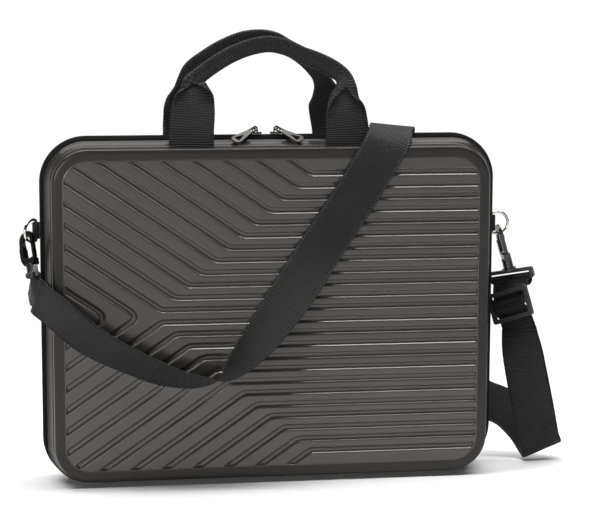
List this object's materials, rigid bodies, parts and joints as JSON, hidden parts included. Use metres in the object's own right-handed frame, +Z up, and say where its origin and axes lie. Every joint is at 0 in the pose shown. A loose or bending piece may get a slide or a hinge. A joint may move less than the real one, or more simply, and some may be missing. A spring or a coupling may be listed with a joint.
{
  "type": "laptop hard case",
  "caption": "Slim moulded zip case with a grooved panel, webbing handles and a shoulder strap on swivel hooks.",
  "frame": {"origin": "middle of the flat foot under the back shell", "axes": "+Z up, the grooved front panel faces -Y, +X along the case's width"},
  "size_m": [0.4896, 0.1214, 0.392],
  "materials": {
    "shell": "semi-gloss moulded shell",
    "lining": "soft lining",
    "zip_tape": "woven tape",
    "zip_coil": "moulded coil",
    "webbing": "ribbed nylon webbing",
    "elastic": "woven elastic",
    "hardware": "gunmetal",
    "nickel": "polished"
  },
  "bodies": {
    "back": {"back_shell": "shell", "back_lining": "lining", "back_zip_tape": "zip_tape", "back_zip_coil": "zip_coil", "hinge_strip": "zip_tape", "gusset_left": "lining", "gusset_right": "lining", "back_anchor_left": "hardware", "back_anchor_right": "hardware", "ring_tab_left": "webbing", "ring_tab_right": "webbing", "retainer_left": "elastic", "retainer_right": "elastic", "loop_left": "hardware", "loop_right": "hardware", "strap_left": "webbing", "strap_top": "webbing", "strap_rear": "webbing", "strap_hanging": "webbing"},
    "lid": {"front_shell": "shell", "front_lining": "lining", "front_zip_tape": "zip_tape", "front_zip_coil": "zip_coil", "front_anchor_left": "hardware", "front_anchor_right": "hardware", "pocket": "lining", "strap_front": "webbing"},
    "handle_front": {"front_handle": "webbing"},
    "handle_back": {"back_handle": "webbing"},
    "slider_left": {"zip_slider_left": "hardware"},
    "slider_right": {"zip_slider_right": "hardware"},
    "puller_left": {"zip_puller_left": "hardware"},
    "puller_right": {"zip_puller_right": "hardware"},
    "ring_left": {"ring_left": "nickel"},
    "ring_right": {"ring_right": "nickel"},
    "hook_left": {"hook_left": "hardware"},
    "hook_right": {"hook_right": "hardware"},
    "gate_left": {"gate_left": "hardware"},
    "gate_right": {"gate_right": "hardware"},
    "adjuster": {"adjuster": "hardware"}
  },
  "joints": [
    {"name": "lid_hinge", "type": "hinge", "parent": "back", "child": "lid", "pos_m": [0, -0.014, 0.0005], "axis": [1, 0, 0], "range_deg": [0, 45], "deforming": ["hinge_strip", "gusset_left", "gusset_right", "strap_left", "strap_top"]},
    {"name": "handle_front_hinge", "type": "hinge", "parent": "lid", "child": "handle_front", "pos_m": [0, -0.0329, 0.2942], "axis": [1, 0, 0], "range_deg": [0, 60]},
    {"name": "handle_back_hinge", "type": "hinge", "parent": "back", "child": "handle_back", "pos_m": [0, 0.0049, 0.2942], "axis": [-1, 0, 0], "range_deg": [0, 60]},
    {"name": "ring_left_turn", "type": "hinge", "parent": "back", "child": "ring_left", "pos_m": [-0.2019, -0.0015, 0.2204], "axis": [0, 0, 1], "range_deg": [-4, 4]},
    {"name": "ring_right_turn", "type": "hinge", "parent": "back", "child": "ring_right", "pos_m": [0.2019, -0.0015, 0.2204], "axis": [0, 0, 1], "range_deg": [-5, 5]},
    {"name": "hook_left_swivel", "type": "hinge", "parent": "back", "child": "hook_left", "pos_m": [-0.20636, -0.02929, 0.18637], "axis": [-0.11, 0.5701, 0.8142], "range_deg": [-10, 10]},
    {"name": "hook_right_swivel", "type": "hinge", "parent": "back", "child": "hook_right", "pos_m": [0.21882, -0.0015, 0.17918], "axis": [-0.2721, 0, 0.9623], "range_deg": [-10, 10]},
    {"name": "adjuster_slide", "type": "slide", "parent": "back", "child": "adjuster", "axis": [0.2206, -0.2507, -0.9426], "range_m": [0, 0.02], "deforming": ["strap_hanging"]},
    {"name": "gate_left_spring", "type": "hinge", "parent": "hook_left", "child": "gate_left", "pos_m": [-0.20422, -0.02307, 0.20133], "axis": [-0.6662, -0.6502, 0.3652], "range_deg": [0, 25], "stiffness_Nm_per_rad": 0.02, "springref_deg": -17.19},
    {"name": "gate_right_spring", "type": "hinge", "parent": "hook_right", "child": "gate_right", "pos_m": [0.2146, -0.0067, 0.19409], "axis": [-0.9623, 0, -0.2721], "range_deg": [0, 25], "stiffness_Nm_per_rad": 0.02, "springref_deg": -17.19},
    {"name": "slider_left_run", "type": "slide", "parent": "lid", "child": "slider_left", "axis": [-1, 0, 0], "range_m": [0, 0.12]},
    {"name": "puller_left_hinge", "type": "hinge", "parent": "slider_left", "child": "puller_left", "pos_m": [-0.0132, -0.015, 0.3078], "axis": [-0.6495, 0.6516, 0.3918], "range_deg": [0, 100]},
    {"name": "slider_right_run", "type": "slide", "parent": "lid", "child": "slider_right", "axis": [1, 0, 0], "range_m": [0, 0.05]},
    {"name": "puller_right_hinge", "type": "hinge", "parent": "slider_right", "child": "puller_right", "pos_m": [0.0062, -0.015, 0.3078], "axis": [-0.6495, -0.6516, -0.3918], "range_deg": [0, 100]}
  ]
}
